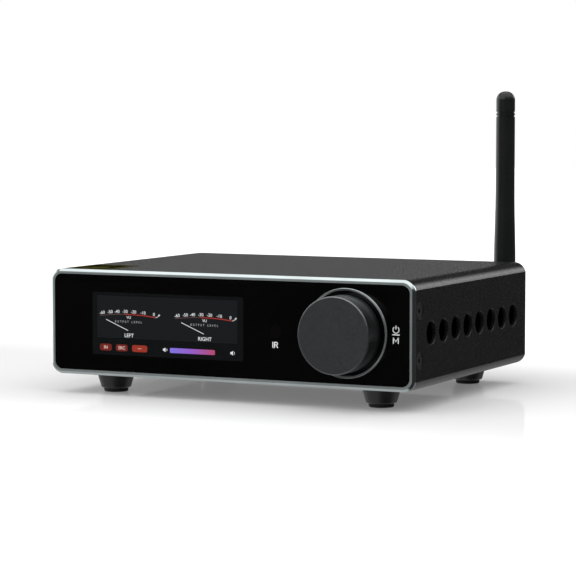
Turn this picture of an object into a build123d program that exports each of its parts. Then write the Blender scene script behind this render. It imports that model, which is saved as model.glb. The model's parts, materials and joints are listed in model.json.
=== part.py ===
from build123d import *
import os
from math import cos, pi, radians, sin

# Compact stereo receiver: an extruded aluminium case on four feet, with a display, a push-and-turn knob,
# speaker posts, phono sockets and a folding rod antenna.
# Frame: +Z up, +X to the right as seen from the front, front facing -Y.
# The origin is under the middle of the whole object, on the surface that it stands on.

# Case
CASE_WIDTH = 169.2
CASE_DEPTH = 125.8
CASE_HEIGHT = 45.0
CORNER_RADIUS = 5.5
CORNER_SWEEP = 75.0        # degrees of arc before it meets the side at a crease
WALL = 1.5
INNER_RADIUS = 4.1
FOOT_HEIGHT = 8.5

# Front frame and panel
CHAMFER_WIDTH = 1.07
CHAMFER_DEPTH = 0.95
RIM_WIDTH = 1.0
FRAME_LAND = 1.6           # depth of the frame that shows in front of the sleeve
SKIRT_DEPTH = 10.0
SKIRT_WALL = 2.5
WEB_FRONT = 3.0
WEB_BACK = 5.0
PANEL_SET_BACK = 0.15
PANEL_BACK = 2.95
PANEL_RADIUS = 3.5
FIT = 0.05                 # gap per side between pieces that seat in one another
BOARD_THICK = 1.6

# Side vents and screws
VENT_COUNT = 8
VENT_RADIUS = 5.0
VENT_PITCH = 13.29
VENT_FIRST = 17.25
VENT_HEIGHT = 22.7
VENT_BEVEL = 0.25
FRAME_SCREW_Y = 5.5
FRAME_SCREW_HEIGHTS = (12.6, 32.6)

# Countersunk screws: head radius, shank radius, head depth, length
FRAME_SCREW = (3.5, 1.5, 1.3, 4.6)
REAR_SCREW = (2.5, 1.25, 1.2, 8.0)
FRAME_SCREW_SET_BACK = 0.35
REAR_SCREW_SET_BACK = 0.1
RECESS_SHARE = 0.8         # of the shank's radius, to the recess's corners
RECESS_DEPTH = 0.7         # of the head's depth
CORNER_PORT_X = 80.3
CORNER_PORT_Z = 18.2       # above and below the case's middle
CORNER_PORT_RADIUS = 3.2

# Knob, its ring and the encoder behind it
KNOB_X = 54.5
KNOB_HEIGHT = 22.7
KNOB_RADIUS = 15.8
KNOB_PROUD = 12.2
KNOB_GAP = 0.6             # from the knob's back edge to the front plane
KNOB_EDGE = 0.5
KNOB_SHELL = 2.6
HUB_RADIUS = 6.0
HUB_BACK = 3.0
RING_OUTER = 18.3
RING_INNER = 17.3
RING_PROUD = 0.4
RING_EDGE = 0.15
SHAFT_RADIUS = 3.0
SHAFT_FLAT = 0.7
SHAFT_FRONT = 10.0         # in front of the front plane
SHAFT_BACK = 8.0           # behind the front plane, like the depths below
FLAT_BACK = -1.5
FLANGE_FRONT = 6.8
RUNNING = 0.05             # radial clearance of a turning shaft
BORE_GAP = 0.02            # radial clearance of the knob's bore
KNOB_SCREW_RADIUS = 1.5
KNOB_SCREW_Y = 6.0
KNOB_SCREW_KEY = 0.85
KNOB_SCREW_KEY_DEPTH = 1.5
ENCODER_BUSH = 3.5
ENCODER_HALF = 6.2
ENCODER_BACK = 12.0
ENCODER_CAVITY = 4.2       # radius
CAVITY_FRONT = 6.4
CAVITY_BACK = 11.0
BUSH_FRONT = 0.4
NUT_HOLE = 7.5             # radius of the panel's opening around the encoder's nut
NUT_FRONT = 0.8
NUT_WIDTH = 10.0
PLUNGER_FLANGE_BACK = 9.0
PLUNGER_RADIUS = 1.5
PRESS_TRAVEL = 0.4

# Display
WINDOW_LEFT = -64.0
WINDOW_RIGHT = 8.0
WINDOW_LOW = 9.0
WINDOW_HIGH = 35.7
WEB_WINDOW_INSET = 1.0
GLASS_THICK = 1.8
TRAY_FRONT = 5.05          # behind the front plane
TRAY_BACK = 7.0
TRAY_SHEET = 0.8
RIBBON_HIGH = 15.0         # above the case's underside
RIBBON_LOW = 10.0
DISPLAY_RIBBON = (-36.0, -16.0, 0.3, 1.2)   # left, right, thickness, bend radius
FRONT_RIBBON = (-8.0, 14.0, 0.6, 3.5)
FRONT_RIBBON_REACH = 8.0
FRONT_BOARD = (-66.0, 74.0, 6.0, 39.0)      # left, right, low, high

# Infra-red window
INFRARED_X = 22.9
INFRARED_HEIGHT = 22.4
INFRARED_RADIUS = 2.6
RECEIVER_FRONT = 8.5
RECEIVER_HALF_WIDTH = 2.8
RECEIVER_HALF_HEIGHT = 3.4
RECEIVER_LENS = 2.0

# Feet
FOOT_X = 62.6
FOOT_FRONT = 17.4
FOOT_REAR = 112.3
FOOT_TOP_RADIUS = 8.3
FOOT_LOW_RADIUS = 6.3
FOOT_EDGE = 1.0
PAD_RADIUS = 5.25
PAD_SHOWS = 1.3            # height of the pad that shows below the foot
PAD_TOP = 3.0
PAD_EDGE = 0.35
FOOT_SCREW_LOW = 3.1       # above the standing surface, like the two sizes below
FOOT_SCREW_SEAT = 5.1
FOOT_SCREW_HEAD = 2.9
FOOT_SCREW_RADIUS = 1.5
FOOT_SCREW_REACH = 3.8     # above the case's underside
FOOT_SCREW_KEY = 1.3
FOOT_SCREW_KEY_DEPTH = 1.2
FOOT_SCREW_GAP = 0.3
FOOT_GAP = 0.3             # the foot's lower face stands this far above the pad's visible part
BOSS_RADIUS = 4.0
BOSS_HEIGHT = 2.5

# Label on the top
LABEL_LEFT = -79.0
LABEL_RIGHT = -58.0
LABEL_FRONT = 3.0
LABEL_REAR = 29.0
LABEL_THICK = 0.12

# Antenna: a threaded socket, a collar, a knuckle that swivels and a rod that folds
ANTENNA_X = 68.5
ANTENNA_HEIGHT = 32.0
ANTENNA_BACK = 16.0        # from the rear panel to the fold axis
ANTENNA_TOP = 120.9        # above the case's underside
ROD_BASE_RADIUS = 4.9
ROD_SHOULDER_RADIUS = 4.86
ROD_MIDDLE_RADIUS = 4.27
ROD_TOP_RADIUS = 4.22
ROD_START = 5.1            # above the fold axis
ROD_SHOULDER = 46.0        # above the case's underside, where the rod starts to narrow
ROD_MIDDLE = 78.0          # and where it has nearly its tip's width
CAP_LENGTH = 10.8
CAP_DOME = 3.9
GROOVE_DEPTH = 0.4
GROOVE_WIDTH = 0.6
GROOVE_GAP = 1.6
STEM_RADIUS = 2.0
STEM_FRONT = 8.3           # behind the rear panel, like the depths below
STEM_BACK = 9.5
COLLAR_FRONT = 2.3
COLLAR_BACK = 9.4
COLLAR_FLUTES = 20
FLUTE_RADIUS = 0.3
SOCKET_THREAD = 3.15
SOCKET_REACH = 8.0
SOCKET_BORE = 2.3
SOCKET_NUT = 8.0           # across flats
SOCKET_NUT_THICK = 2.0
EAR_RADIUS = 4.7
TONGUE_RADIUS = 4.2
TONGUE_HALF = 1.9
TONGUE_NECK = 3.6
EAR_CLEARANCE = 0.15
PIN_RADIUS = 0.9

# Rear panel and what stands on it
REAR_THICK = 2.0
SOCKET_COLUMNS = (-70.0, -54.0, -38.0, -22.0)
POST_HEIGHT = 13.5
POST_RADIUS = 5.9
STUD_RADIUS = 3.0
STUD_LENGTH = 15.0
BANANA_RADIUS = 2.0
BANANA_DEPTH = 12.0
COLLAR_THICK = 2.5
WASHER_THICK = 0.9
POST_GAP = 0.1
POST_LENGTH = 15.4
POST_RIBS = 24
POST_RIB_RADIUS = 0.35
POST_EDGE = 0.5
STUD_INSIDE = 12.0
COLLAR_NECK = 4.1
COLLAR_RIM = 0.3
COLLAR_EDGE = 0.4
POST_NUT_WIDTH = 9.0
POST_NUT_THICK = 3.0
PHONO_HEIGHT = 33.0
PHONO_RADIUS = 4.15
PHONO_LENGTH = 9.0
PHONO_NECK = 3.2
PHONO_WALL = 0.65
PHONO_INSIDE = 8.0
PHONO_RING_THICK = 1.2
PHONO_RING_RIM = 1.4
PHONO_FLANGE_BACK = 2.0
PHONO_FLANGE_RIM = 0.8
PHONO_PIN_BORE = 1.6
OPTICAL_X = 2.0
USB_X = 22.0
POWER_X = 69.0
SOCKET_PROUD = 0.5
SOCKET_INSIDE = 14.0
OPTICAL_HALF = 3.2         # half the width of the square opening
OPTICAL_DEPTH = 8.0
OPTICAL_GUIDE = 1.1
USB_HALF_WIDTH = 4.2
USB_HALF_HEIGHT = 3.9
USB_DEPTH = 9.0
TONGUE_HALF_WIDTH = 2.8
TONGUE_HALF_HEIGHT = 1.6
POWER_BORE = 3.2
POWER_DEPTH = 10.0
POWER_PIN = 1.05

# Inside
BOARD_LOW = 6.0            # underside of the main board above the case's underside
BOARD_HALF_WIDTH = 76.0
BOARD_FRONT = 17.0
BOARD_REAR_GAP = 4.0
LEAD_RADIUS = 0.65
LEAD_RISE = 22.0           # above the case's underside
LEAD_CORNER = (66.0, 62.0, 24.0)
SPACER_X = 71.0
SPACER_DEPTHS = (26.0, 96.0)
SPACER_RADIUS = 3.0
SPACER_NECK = 1.6
RADIO_X = 44.0
RADIO_DEPTH = 36.0
RADIO_HEIGHT = 3.0
RADIO_BOARD = 0.8
RADIO_HALF_WIDTH = 12.0
RADIO_HALF_DEPTH = 8.0
CAN_HALF_DEPTH = 6.5
CHIP_X = 20.0
CHIP_DEPTH = 76.0
CHIP_HALF = 7.0
CHIP_HEIGHT = 1.3
SINK_HALF_WIDTH = 27.0
SINK_HALF_DEPTH = 20.0
SINK_BASE = 4.0
FIN_HEIGHT = 18.0
FIN_THICK = 1.5
FIN_COUNT = 9
COIL_DEPTH = 84.0
COIL_HALF = 6.0
COIL_HEIGHT = 8.0
COIL_EDGE = 1.2
CAPACITOR_DEPTH = 58.0
CAPACITOR_HEIGHT = 22.0
CAPACITOR_RADIUS = 6.3
CAPACITOR_EDGE = 0.8

# Places worked out from the sizes above
REAR_REACH = ANTENNA_BACK + ROD_BASE_RADIUS
FRONT = KNOB_PROUD - (KNOB_PROUD + CASE_DEPTH + REAR_REACH) / 2
REAR = FRONT + CASE_DEPTH
BOTTOM = FOOT_HEIGHT
MIDDLE = BOTTOM + CASE_HEIGHT / 2
TOP = BOTTOM + CASE_HEIGHT
PANEL_INSET = CHAMFER_WIDTH + RIM_WIDTH
KNOB_Z = BOTTOM + KNOB_HEIGHT
ANTENNA_Z = BOTTOM + ANTENNA_HEIGHT
FOLD_Y = REAR + ANTENNA_BACK
POST_Z = BOTTOM + POST_HEIGHT
PHONO_Z = BOTTOM + PHONO_HEIGHT
BOARD_TOP = BOTTOM + BOARD_LOW + BOARD_THICK
INNER_WIDTH = CASE_WIDTH - 2 * WALL
INNER_HEIGHT = CASE_HEIGHT - 2 * WALL
INFRARED_Z = BOTTOM + INFRARED_HEIGHT
RADIO_Y = FRONT + RADIO_DEPTH
CHIP_Y = FRONT + CHIP_DEPTH
SPACER_PLACES = [(x, FRONT + depth) for x in (-SPACER_X, SPACER_X) for depth in SPACER_DEPTHS]
# The faces of the board-mounted sockets: left, right, low, high
OPTICAL_FACE = (OPTICAL_X - 4.9, OPTICAL_X + 4.9, BOARD_TOP, BOARD_TOP + 10.0)
USB_FACE = (USB_X - 6.0, USB_X + 6.0, BOARD_TOP, BOARD_TOP + 10.8)
POWER_FACE = (POWER_X - 4.5, POWER_X + 4.5, BOARD_TOP, BOARD_TOP + 11.0)


def block(x0, x1, y0, y1, z0, z1):
    """A rectangular block between two corners."""
    return Pos((x0 + x1) / 2, (y0 + y1) / 2, (z0 + z1) / 2) * Box(x1 - x0, y1 - y0, z1 - z0)


def bar_x(y, z, x0, x1, radius):
    """A round bar along X."""
    return Pos((x0 + x1) / 2, y, z) * Rot(0, 90, 0) * Cylinder(radius, x1 - x0)


def bar_y(x, z, y0, y1, radius):
    """A round bar along Y."""
    return Pos(x, (y0 + y1) / 2, z) * Rot(90, 0, 0) * Cylinder(radius, y1 - y0)


def bar_z(x, y, z0, z1, radius):
    """A round bar along Z."""
    return Pos(x, y, (z0 + z1) / 2) * Cylinder(radius, z1 - z0)


def tube_y(x, z, y0, y1, outer, inner):
    """A round tube along Y."""
    return bar_y(x, z, y0, y1, outer) - bar_y(x, z, y0, y1, inner)


def hex_nut(x, z, y0, y1, across_flats, bore):
    """A hexagonal nut with its axis along Y."""
    corner = across_flats / 2 / cos(pi / 6)
    prism = extrude(face_plane(y1, x, z) * RegularPolygon(corner, 6), y1 - y0)
    return prism - bar_y(x, z, y0, y1, bore)


def face_plane(y, x=0.0, z=MIDDLE):
    """A sketch plane that faces the front, so that an extrusion from it runs towards the front."""
    return Plane(origin=(x, y, z), x_dir=(1, 0, 0), z_dir=(0, -1, 0))


def rounded_plate(width, height, radius, y0, y1):
    """A rounded rectangle centred on the case's section, from y0 back to y1."""
    return extrude(face_plane(y1) * RectangleRounded(width, height, radius), y1 - y0)


def case_outline(width, height, radius):
    """The case's section: arcs that run on from the top and bottom, and meet the sides at a crease."""
    sweep_angle = radians(CORNER_SWEEP)
    centre_x = width / 2 - radius * sin(sweep_angle)
    centre_z = height / 2 - radius
    arc = [(centre_x + radius * sin(angle), centre_z + radius * cos(angle))
           for angle in (0, sweep_angle / 2, sweep_angle)]
    corners = []
    for side, up in ((1, 1), (1, -1), (-1, -1), (-1, 1)):
        points = [(side * x, up * z) for x, z in arc]
        corners.append(points if side * up > 0 else points[::-1])
    edges = []
    for points, following in zip(corners, corners[1:] + corners[:1]):
        edges.append(ThreePointArc(*points))
        edges.append(Line(points[-1], following[0]))
    return make_face(edges)


def case_bar(y0, y1):
    """A solid bar with the case's section."""
    section = case_outline(CASE_WIDTH, CASE_HEIGHT, CORNER_RADIUS)
    return extrude(face_plane(y1) * section, y1 - y0)


def countersunk_screw(head_radius, shank_radius, head_depth, length):
    """A countersunk screw with a hexagonal recess. It points down, and its head's face is at z = 0."""
    head = Pos(0, 0, -head_depth / 2) * Cone(shank_radius, head_radius, head_depth)
    screw = head + bar_z(0, 0, -length, 0, shank_radius)
    recess = extrude(RegularPolygon(shank_radius * RECESS_SHARE, 6), -head_depth * RECESS_DEPTH)
    return screw - recess


def countersink(head_radius, shank_radius, head_depth, length):
    """The hole for a countersunk screw, a little larger than the screw all over."""
    cone = Pos(0, 0, -head_depth / 2) * Cone(shank_radius + FIT, head_radius + FIT, head_depth)
    mouth = bar_z(0, 0, 0, 1, head_radius + FIT)
    return cone + mouth + bar_z(0, 0, -length - FIT, 0, shank_radius + FIT)


def save(shape, node):
    """Write one node's STEP file."""
    shape.label = node
    export_step(shape, f"parts/{node}.step")


def frame_screw_places():
    """The four side screws, with the head's face just under the case's side."""
    places = []
    for side in (-1, 1):
        for height in FRAME_SCREW_HEIGHTS:
            face = side * (CASE_WIDTH / 2 - FRAME_SCREW_SET_BACK)
            places.append(Pos(face, FRONT + FRAME_SCREW_Y, BOTTOM + height) * Rot(0, 90 * side, 0))
    return places


def rear_screw_places():
    """The four corner screws of the rear panel, with the head's face just under its surface."""
    places = []
    for side in (-1, 1):
        for up in (-1, 1):
            place = Pos(side * CORNER_PORT_X, REAR - REAR_SCREW_SET_BACK, MIDDLE + up * CORNER_PORT_Z)
            places.append(place * Rot(-90, 0, 0))
    return places


def foot_places():
    """The centres of the four feet."""
    return [(side * FOOT_X, FRONT + y) for y in (FOOT_FRONT, FOOT_REAR) for side in (-1, 1)]


def make_case_sleeve():
    """The extruded sleeve, with screw ports in its corners, round side vents and foot bosses."""
    y0, y1 = FRONT + FRAME_LAND, REAR - REAR_THICK
    sleeve = case_bar(y0, y1)
    sleeve -= rounded_plate(INNER_WIDTH, INNER_HEIGHT, INNER_RADIUS, y0, y1)
    port_front = FRONT + SKIRT_DEPTH + 1.0
    for side in (-1, 1):
        for up in (-1, 1):
            x, z = side * CORNER_PORT_X, MIDDLE + up * CORNER_PORT_Z
            sleeve += bar_y(x, z, port_front, y1, CORNER_PORT_RADIUS)
    for x, y in foot_places():
        sleeve += bar_z(x, y, BOTTOM + WALL / 2, BOTTOM + WALL + BOSS_HEIGHT, BOSS_RADIUS)
    for place in frame_screw_places():
        sleeve -= place * countersink(*FRAME_SCREW)
    for place in rear_screw_places():
        sleeve -= place * countersink(*REAR_SCREW)
    for x, y in foot_places():
        sleeve -= bar_z(x, y, BOTTOM - 1, BOTTOM + WALL + BOSS_HEIGHT, FOOT_SCREW_RADIUS + FIT)
    return sleeve - vent_cuts()


def vent_cuts():
    """The vents' cutters: a through hole with a bevelled mouth, on both sides."""
    cuts = []
    z = BOTTOM + VENT_HEIGHT
    half = CASE_WIDTH / 2
    for number in range(VENT_COUNT):
        y = FRONT + VENT_FIRST + number * VENT_PITCH
        for side in (-1, 1):
            inner, outer = sorted((side * (half - 2 * WALL), side * (half + 1)))
            cuts.append(bar_x(y, z, inner, outer, VENT_RADIUS - VENT_BEVEL))
            mouth = Cone(VENT_RADIUS - VENT_BEVEL, VENT_RADIUS, VENT_BEVEL)
            cuts.append(Pos(side * (half - VENT_BEVEL / 2), y, z) * Rot(0, 90 * side, 0) * mouth)
    return cuts


def make_front_frame():
    """The machined frame: a chamfered rim, a skirt inside the sleeve, and a web behind the front parts."""
    y_land = FRONT + CHAMFER_DEPTH
    back_section = face_plane(y_land) * case_outline(CASE_WIDTH, CASE_HEIGHT, CORNER_RADIUS)
    front_section = face_plane(FRONT) * case_outline(CASE_WIDTH - 2 * CHAMFER_WIDTH,
                                                     CASE_HEIGHT - 2 * CHAMFER_WIDTH,
                                                     CORNER_RADIUS - CHAMFER_WIDTH)
    frame = loft([back_section, front_section], ruled=True)
    frame += case_bar(y_land, FRONT + FRAME_LAND)
    skirt_w, skirt_h = INNER_WIDTH - 2 * FIT, INNER_HEIGHT - 2 * FIT
    frame += rounded_plate(skirt_w, skirt_h, INNER_RADIUS, FRONT + FRAME_LAND, FRONT + SKIRT_DEPTH)
    frame -= rounded_plate(CASE_WIDTH - 2 * PANEL_INSET, CASE_HEIGHT - 2 * PANEL_INSET, PANEL_RADIUS,
                           FRONT - 1, FRONT + WEB_FRONT)
    frame -= rounded_plate(skirt_w - 2 * SKIRT_WALL, skirt_h - 2 * SKIRT_WALL, INNER_RADIUS - SKIRT_WALL / 2,
                           FRONT + WEB_BACK, FRONT + SKIRT_DEPTH)
    inset = WEB_WINDOW_INSET
    frame -= block(WINDOW_LEFT + inset, WINDOW_RIGHT - inset, FRONT + WEB_FRONT, FRONT + WEB_BACK,
                   BOTTOM + WINDOW_LOW + inset, BOTTOM + WINDOW_HIGH - inset)
    frame -= bar_y(KNOB_X, KNOB_Z, FRONT + WEB_FRONT, FRONT + WEB_BACK, ENCODER_BUSH + FIT)
    frame -= bar_y(INFRARED_X, INFRARED_Z, FRONT + WEB_FRONT, FRONT + WEB_BACK,
                   INFRARED_RADIUS + 1)
    for place in frame_screw_places():
        frame -= place * countersink(*FRAME_SCREW)
    return frame


def make_front_panel():
    """The black front panel, with openings for the display window, the infra-red window and the encoder."""
    panel = rounded_plate(CASE_WIDTH - 2 * (PANEL_INSET + FIT), CASE_HEIGHT - 2 * (PANEL_INSET + FIT),
                          PANEL_RADIUS - FIT, FRONT + PANEL_SET_BACK, FRONT + PANEL_BACK)
    panel -= block(WINDOW_LEFT, WINDOW_RIGHT, FRONT, FRONT + WEB_FRONT,
                   BOTTOM + WINDOW_LOW, BOTTOM + WINDOW_HIGH)
    panel -= bar_y(KNOB_X, KNOB_Z, FRONT, FRONT + WEB_FRONT, NUT_HOLE)
    return panel - bar_y(INFRARED_X, INFRARED_Z, FRONT, FRONT + WEB_FRONT, INFRARED_RADIUS + FIT)


def make_display_window():
    """The clear window in the front panel."""
    return block(WINDOW_LEFT + FIT, WINDOW_RIGHT - FIT, FRONT + PANEL_SET_BACK, FRONT + PANEL_BACK,
                 BOTTOM + WINDOW_LOW + FIT, BOTTOM + WINDOW_HIGH - FIT)


def make_display_glass():
    """The display's glass cell, in the web's window."""
    inset = WEB_WINDOW_INSET + 2 * FIT
    face = FRONT + WEB_FRONT
    return block(WINDOW_LEFT + inset, WINDOW_RIGHT - inset, face, face + GLASS_THICK,
                 BOTTOM + WINDOW_LOW + inset, BOTTOM + WINDOW_HIGH - inset)


def make_display_tray():
    """The folded metal tray that holds the display from behind."""
    tray = block(WINDOW_LEFT - 1, WINDOW_RIGHT + 1, FRONT + TRAY_FRONT, FRONT + TRAY_BACK,
                 BOTTOM + WINDOW_LOW - 2, BOTTOM + WINDOW_HIGH + 2)
    pocket = block(WINDOW_LEFT, WINDOW_RIGHT, FRONT + TRAY_FRONT, FRONT + TRAY_BACK - TRAY_SHEET,
                   BOTTOM + WINDOW_LOW - 1, BOTTOM + WINDOW_HIGH + 1)
    return tray - pocket


def ribbon(points, x0, x1, thick, bend):
    """A flat ribbon cable that is bent in the YZ plane and runs across X."""
    profile = Plane.YZ.offset(x0) * trace(FilletPolyline(*points, radius=bend), thick)
    return extrude(profile, x1 - x0)


def make_display_ribbon():
    """The display's flat cable, from its tray to the front board."""
    half = (TRAY_BACK + ENCODER_BACK) / 2
    high, low = BOTTOM + RIBBON_HIGH, BOTTOM + RIBBON_LOW
    points = [(FRONT + TRAY_BACK, high), (FRONT + half, high),
              (FRONT + half, low), (FRONT + ENCODER_BACK, low)]
    return ribbon(points, *DISPLAY_RIBBON)


def make_front_ribbon():
    """The flat cable from the front board down to the main board."""
    back = FRONT + ENCODER_BACK + BOARD_THICK
    bend, high = back + FRONT_RIBBON_REACH, BOTTOM + RIBBON_HIGH
    return ribbon([(back, high), (bend, high), (bend, BOARD_TOP)], *FRONT_RIBBON)


def make_front_board():
    """The circuit board behind the front frame's web."""
    left, right, low, high = FRONT_BOARD
    face = FRONT + ENCODER_BACK
    return block(left, right, face, face + BOARD_THICK, BOTTOM + low, BOTTOM + high)


def make_infrared_window():
    """The small round window in front of the infra-red receiver."""
    return bar_y(INFRARED_X, INFRARED_Z, FRONT + PANEL_SET_BACK, FRONT + PANEL_BACK, INFRARED_RADIUS)


def make_infrared_receiver():
    """The receiver: a block on the front board with a domed lens."""
    face, wide, tall = FRONT + RECEIVER_FRONT, RECEIVER_HALF_WIDTH, RECEIVER_HALF_HEIGHT
    body = block(INFRARED_X - wide, INFRARED_X + wide, face, FRONT + ENCODER_BACK,
                 INFRARED_Z - tall, INFRARED_Z + tall)
    return body + Pos(INFRARED_X, face, INFRARED_Z) * Sphere(RECEIVER_LENS)


def make_knob_ring():
    """The bright ring on the panel around the knob."""
    ring = tube_y(KNOB_X, KNOB_Z, FRONT - RING_PROUD, FRONT + PANEL_SET_BACK, RING_OUTER, RING_INNER)
    front_edges = ring.edges().filter_by(GeomType.CIRCLE).group_by(Axis.Y)[0]
    return chamfer(front_edges, RING_EDGE)


def make_knob():
    """The turned knob: a hollow cup with a central hub and a bore that fits the shaft's flat."""
    face, back = FRONT - KNOB_PROUD, FRONT - KNOB_GAP
    knob = bar_y(KNOB_X, KNOB_Z, face, back, KNOB_RADIUS)
    knob = fillet(knob.edges().filter_by(GeomType.CIRCLE).group_by(Axis.Y)[0], KNOB_EDGE)
    knob -= tube_y(KNOB_X, KNOB_Z, face + KNOB_SHELL, back, KNOB_RADIUS - KNOB_SHELL, HUB_RADIUS)
    knob -= bar_y(KNOB_X, KNOB_Z, FRONT - HUB_BACK, back, HUB_RADIUS + 1)
    knob -= encoder_shaft_bar(FRONT - SHAFT_FRONT - 0.1, FRONT, SHAFT_RADIUS + BORE_GAP)
    return knob - set_screw_bar(KNOB_SCREW_RADIUS, HUB_RADIUS + 1)


def set_screw_bar(radius, reach):
    """A bar along the set screw's axis, from the shaft's flat down to the given reach."""
    return bar_z(KNOB_X, FRONT - KNOB_SCREW_Y, KNOB_Z - reach, KNOB_Z - SHAFT_RADIUS + SHAFT_FLAT, radius)


def make_knob_set_screw():
    """The set screw that holds the knob on the shaft's flat."""
    screw = set_screw_bar(KNOB_SCREW_RADIUS, HUB_RADIUS - 0.2)
    low = Plane(origin=(KNOB_X, FRONT - KNOB_SCREW_Y, KNOB_Z - HUB_RADIUS + 0.2))
    return screw - extrude(low * RegularPolygon(KNOB_SCREW_KEY, 6), KNOB_SCREW_KEY_DEPTH)


def encoder_shaft_bar(y0, y1, radius):
    """A round bar along the shaft's axis, with the shaft's flat along its underside."""
    bar = bar_y(KNOB_X, KNOB_Z, y0, y1, radius)
    flat = block(KNOB_X - radius, KNOB_X + radius, y0, y1, KNOB_Z - radius, KNOB_Z - radius + SHAFT_FLAT)
    return bar - flat


def make_encoder_shaft():
    """The shaft: a flatted front end, a round journal, and a flange that keeps it in the body."""
    shaft = encoder_shaft_bar(FRONT - SHAFT_FRONT, FRONT + FLAT_BACK, SHAFT_RADIUS)
    shaft += bar_y(KNOB_X, KNOB_Z, FRONT + FLAT_BACK, FRONT + SHAFT_BACK, SHAFT_RADIUS)
    return shaft + bar_y(KNOB_X, KNOB_Z, FRONT + FLANGE_FRONT, FRONT + SHAFT_BACK, ENCODER_CAVITY - 0.2)


def make_encoder_body():
    """The encoder's housing, with its threaded bush in front."""
    body = block(KNOB_X - ENCODER_HALF, KNOB_X + ENCODER_HALF, FRONT + WEB_BACK, FRONT + ENCODER_BACK,
                 KNOB_Z - ENCODER_HALF, KNOB_Z + ENCODER_HALF)
    body += bar_y(KNOB_X, KNOB_Z, FRONT + BUSH_FRONT, FRONT + WEB_BACK, ENCODER_BUSH)
    body -= bar_y(KNOB_X, KNOB_Z, FRONT, FRONT + CAVITY_FRONT, SHAFT_RADIUS + RUNNING)
    return body - bar_y(KNOB_X, KNOB_Z, FRONT + CAVITY_FRONT, FRONT + CAVITY_BACK, ENCODER_CAVITY)


def make_encoder_plunger():
    """The push switch's plunger, behind the shaft in the encoder's housing."""
    shoulder = FRONT + PLUNGER_FLANGE_BACK
    disc = bar_y(KNOB_X, KNOB_Z, FRONT + SHAFT_BACK + FIT, shoulder, ENCODER_CAVITY - 0.3)
    return disc + bar_y(KNOB_X, KNOB_Z, shoulder, FRONT + CAVITY_BACK - PRESS_TRAVEL - 0.1, PLUNGER_RADIUS)


def make_foot(x, y):
    """One tapered foot, with a recess for its pad and a counterbore for its screw."""
    low = PAD_SHOWS + FOOT_GAP
    profile = make_face(Polyline((0, low), (FOOT_LOW_RADIUS, low), (FOOT_TOP_RADIUS, FOOT_HEIGHT),
                                 (0, FOOT_HEIGHT), close=True))
    foot = revolve(Plane.XZ * profile, Axis.Z)
    foot = fillet(foot.edges().group_by(Axis.Z)[0], FOOT_EDGE)
    foot = Pos(x, y, 0) * foot
    foot -= bar_z(x, y, 0, PAD_TOP, PAD_RADIUS + FIT)
    foot -= bar_z(x, y, 0, FOOT_SCREW_SEAT, FOOT_SCREW_HEAD + FOOT_SCREW_GAP)
    return foot - bar_z(x, y, 0, FOOT_HEIGHT, FOOT_SCREW_RADIUS + FIT)


def make_foot_pad(x, y):
    """One rubber pad, with a softened lower edge."""
    pad = bar_z(x, y, 0, PAD_TOP, PAD_RADIUS)
    return chamfer(pad.edges().group_by(Axis.Z)[0], PAD_EDGE)


def make_foot_screw(x, y):
    """One pan head screw, up through the foot into the case's floor."""
    screw = bar_z(x, y, FOOT_SCREW_LOW, FOOT_SCREW_SEAT, FOOT_SCREW_HEAD)
    screw += bar_z(x, y, FOOT_SCREW_SEAT, BOTTOM + FOOT_SCREW_REACH, FOOT_SCREW_RADIUS)
    low = Plane(origin=(x, y, FOOT_SCREW_LOW))
    return screw - extrude(low * RegularPolygon(FOOT_SCREW_KEY, 6), FOOT_SCREW_KEY_DEPTH)


def make_rear_panel():
    """The rear panel, with a hole for everything that stands on it."""
    y0, y1 = REAR - REAR_THICK, REAR
    panel = case_bar(y0, y1)
    for x in SOCKET_COLUMNS:
        panel -= bar_y(x, POST_Z, y0, y1, COLLAR_NECK + FIT)
        panel -= bar_y(x, PHONO_Z, y0, y1, PHONO_NECK + FIT)
    for x0, x1, z0, z1 in (OPTICAL_FACE, USB_FACE, POWER_FACE):
        panel -= block(x0 - FIT, x1 + FIT, y0, y1, z0 - FIT, z1 + FIT)
    panel -= bar_y(ANTENNA_X, ANTENNA_Z, y0, y1, SOCKET_THREAD + FIT)
    for place in rear_screw_places():
        panel -= place * countersink(*REAR_SCREW)
    return panel


def socket_body(face):
    """The block of a board-mounted socket, which passes through the rear panel."""
    x0, x1, z0, z1 = face
    return block(x0, x1, REAR - SOCKET_INSIDE, REAR + SOCKET_PROUD, z0, z1)


def face_centre(face):
    """The middle of a socket's face."""
    x0, x1, z0, z1 = face
    return (x0 + x1) / 2, (z0 + z1) / 2


def make_optical_socket():
    """The optical socket: a square opening with a light guide at its end."""
    x, z = face_centre(OPTICAL_FACE)
    half, depth = OPTICAL_HALF, OPTICAL_DEPTH
    body = socket_body(OPTICAL_FACE)
    body -= block(x - half, x + half, REAR + SOCKET_PROUD - depth, REAR + SOCKET_PROUD, z - half, z + half)
    return body - bar_y(x, z, REAR - depth - 2.0, REAR, OPTICAL_GUIDE)


def make_usb_socket():
    """The square USB socket, with its contact tongue."""
    x, z = face_centre(USB_FACE)
    mouth = REAR + SOCKET_PROUD
    body = socket_body(USB_FACE)
    body -= block(x - USB_HALF_WIDTH, x + USB_HALF_WIDTH, mouth - USB_DEPTH, mouth,
                  z - USB_HALF_HEIGHT, z + USB_HALF_HEIGHT)
    return body + block(x - TONGUE_HALF_WIDTH, x + TONGUE_HALF_WIDTH, mouth - USB_DEPTH, mouth - 0.8,
                        z - TONGUE_HALF_HEIGHT, z + TONGUE_HALF_HEIGHT)


def make_power_socket():
    """The round power socket, with its centre pin."""
    x, z = face_centre(POWER_FACE)
    mouth = REAR + SOCKET_PROUD
    body = socket_body(POWER_FACE) - bar_y(x, z, mouth - POWER_DEPTH, mouth, POWER_BORE)
    return body + bar_y(x, z, mouth - POWER_DEPTH, mouth - 1.0, POWER_PIN)


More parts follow.
